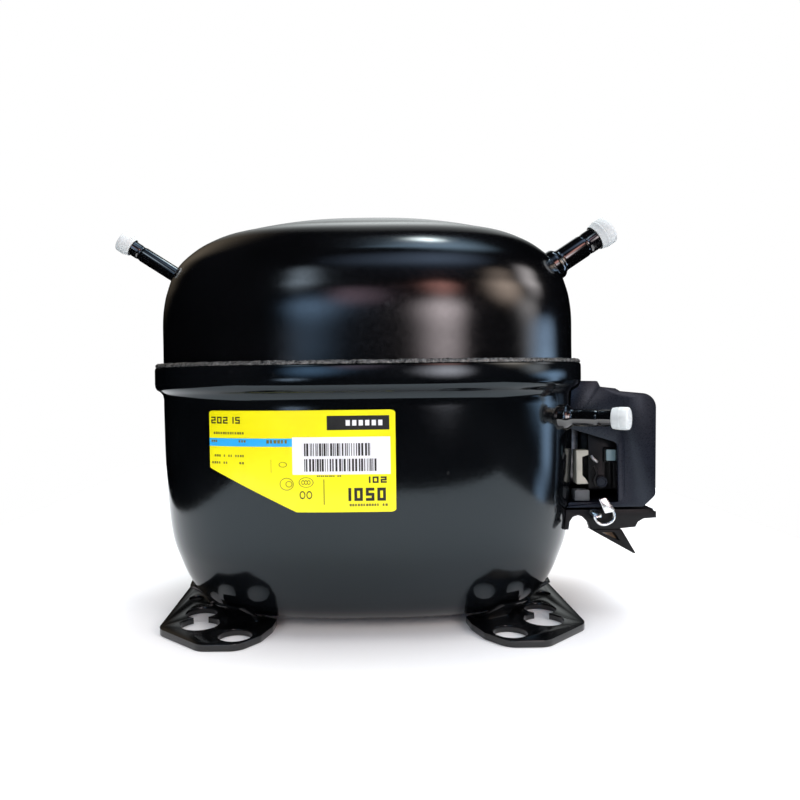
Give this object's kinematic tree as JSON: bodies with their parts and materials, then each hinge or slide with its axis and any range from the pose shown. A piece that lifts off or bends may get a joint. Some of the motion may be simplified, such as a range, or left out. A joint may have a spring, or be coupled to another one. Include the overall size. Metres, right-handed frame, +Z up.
{
  "type": "hermetic_compressor",
  "caption": "Hermetic reciprocating compressor: welded black shell, flat feet, capped connectors, side electrical box and the whole sprung pump inside",
  "frame": {"origin": "middle of the base, on the floor the feet stand on", "axes": "right-handed, +Z up, the rating label faces -Y, the electrical box is on +X"},
  "size_m": [0.2818, 0.1656, 0.2061],
  "materials": {
    "black_paint": "gloss",
    "bead_paint": "satin",
    "white_plastic": "satin",
    "box_plastic": "satin",
    "black_plastic": "satin",
    "beige_plastic": "matte",
    "grey_plastic": "satin",
    "bright_steel": "polished",
    "plain_steel": "brushed",
    "grey_iron": "matte",
    "core_laminate": "brushed",
    "winding_copper": "satin",
    "cast_alloy": "matte",
    "gasket_fibre": "matte",
    "muffler_plastic": "matte",
    "label_yellow": "gloss",
    "lead_sleeve": "matte"
  },
  "bodies": {
    "casing": {"lower_shell": "black_paint", "upper_shell": "black_paint", "weld_bead": "bead_paint", "left_base_bracket": "black_paint", "right_base_bracket": "black_paint", "suction_tube": "black_paint", "process_tube": "black_paint", "discharge_tube": "black_paint", "hermetic_terminal": "plain_steel", "terminal_fence": "plain_steel", "lead_connector": "white_plastic", "starting_relay": "black_plastic", "overload_protector": "beige_plastic", "cord_terminal_block": "grey_plastic", "cord_relief_body": "black_plastic", "clamp_screw": "bright_steel", "rating_label": "label_yellow", "spring_pin_1": "plain_steel", "spring_pin_2": "plain_steel", "spring_pin_3": "plain_steel", "spring_pin_4": "plain_steel"},
    "pump_unit": {"cylinder_block": "grey_iron", "stator_core": "core_laminate", "upper_winding": "winding_copper", "lower_winding": "winding_copper", "cylinder_gasket": "gasket_fibre", "valve_plate": "plain_steel", "discharge_stop": "plain_steel", "head_gasket": "gasket_fibre", "cylinder_head": "cast_alloy", "head_bolt_1": "plain_steel", "head_bolt_2": "plain_steel", "head_bolt_3": "plain_steel", "head_bolt_4": "plain_steel", "suction_muffler": "muffler_plastic", "discharge_muffler": "plain_steel", "discharge_shock_loop": "plain_steel", "motor_leads": "lead_sleeve", "suspension_spring_1": "bright_steel", "suspension_spring_2": "bright_steel", "suspension_spring_3": "bright_steel", "suspension_spring_4": "bright_steel", "stator_bolt_1": "plain_steel", "stator_bolt_2": "plain_steel", "stator_bolt_3": "plain_steel", "stator_bolt_4": "plain_steel"},
    "crank": {"crankshaft": "plain_steel", "rotor": "cast_alloy", "oil_pickup": "plain_steel"},
    "slide": {"slide_block": "grey_iron"},
    "plug": {"oil_bore_plug": "bright_steel"},
    "piston": {"piston_yoke": "grey_iron"},
    "suction_flap": {"suction_reed": "bright_steel"},
    "discharge_flap": {"discharge_reed": "bright_steel"},
    "suction_cap": {"suction_tube_cap": "white_plastic"},
    "process_cap": {"process_tube_cap": "white_plastic"},
    "discharge_cap": {"discharge_tube_cap": "white_plastic"},
    "cover": {"terminal_cover": "box_plastic"},
    "clamp": {"cord_clamp_flap": "black_plastic"},
    "clip": {"cover_clip": "bright_steel"}
  },
  "joints": [
    {"name": "pump_bounce", "type": "slide", "parent": "casing", "child": "pump_unit", "axis": [0, 0, 1], "range_m": [-0.003, 0.003], "stiffness_N_per_m": 32000, "springref_m": 0.0026, "deforming": ["suspension_spring_1", "suspension_spring_2", "suspension_spring_3", "suspension_spring_4", "discharge_shock_loop", "motor_leads"]},
    {"name": "crank_spin", "type": "hinge", "parent": "pump_unit", "child": "crank", "pos_m": [0, 0, 0.1], "axis": [0, 0, 1], "continuous": true},
    {"name": "slide_block_turn", "type": "hinge", "parent": "crank", "child": "slide", "pos_m": [-0.0095, 0, 0.146], "axis": [0, 0, 1], "continuous": true},
    {"name": "throw_middle_turn", "type": "hinge", "parent": "crank", "child": "plug", "pos_m": [-0.00475, 0, 0.154], "axis": [0, 0, 1], "continuous": true},
    {"name": "piston_travel", "type": "hinge", "parent": "plug", "child": "piston", "pos_m": [-0.0095, 0, 0.146], "axis": [0, 0, 1], "continuous": true},
    {"name": "suction_reed_lift", "type": "hinge", "parent": "pump_unit", "child": "suction_flap", "pos_m": [-0.0646, -0.005, 0.1584], "axis": [0, 1, 0], "range_deg": [-2.5, 0]},
    {"name": "discharge_reed_lift", "type": "hinge", "parent": "pump_unit", "child": "discharge_flap", "pos_m": [-0.0685, 0.0055, 0.157], "axis": [0, 1, 0], "range_deg": [0, 3]},
    {"name": "suction_cap_pull", "type": "slide", "parent": "casing", "child": "suction_cap", "axis": [0.8386, 0, 0.5447], "range_m": [0, 0.025]},
    {"name": "process_cap_pull", "type": "slide", "parent": "casing", "child": "process_cap", "axis": [-0.8386, 0, 0.5447], "range_m": [0, 0.025]},
    {"name": "discharge_cap_pull", "type": "slide", "parent": "casing", "child": "discharge_cap", "axis": [0.8386, -0.5447, 0], "range_m": [0, 0.025]},
    {"name": "cover_pull", "type": "slide", "parent": "casing", "child": "cover", "axis": [1, 0, 0], "range_m": [0, 0.05]},
    {"name": "clamp_open", "type": "hinge", "parent": "casing", "child": "clamp", "pos_m": [0.1092, -0.04, 0.0435], "axis": [0, 1, 0], "range_deg": [0, 35]},
    {"name": "clip_swing", "type": "hinge", "parent": "casing", "child": "clip", "pos_m": [0.1132, -0.046, 0.0472], "axis": [0, 1, 0], "range_deg": [0, 60]}
  ],
  "couplings": [
    {"joint": "slide_block_turn", "follows": "crank_spin", "ratio": -1},
    {"joint": "throw_middle_turn", "follows": "crank_spin", "ratio": -2},
    {"joint": "piston_travel", "follows": "crank_spin", "ratio": 1}
  ]
}
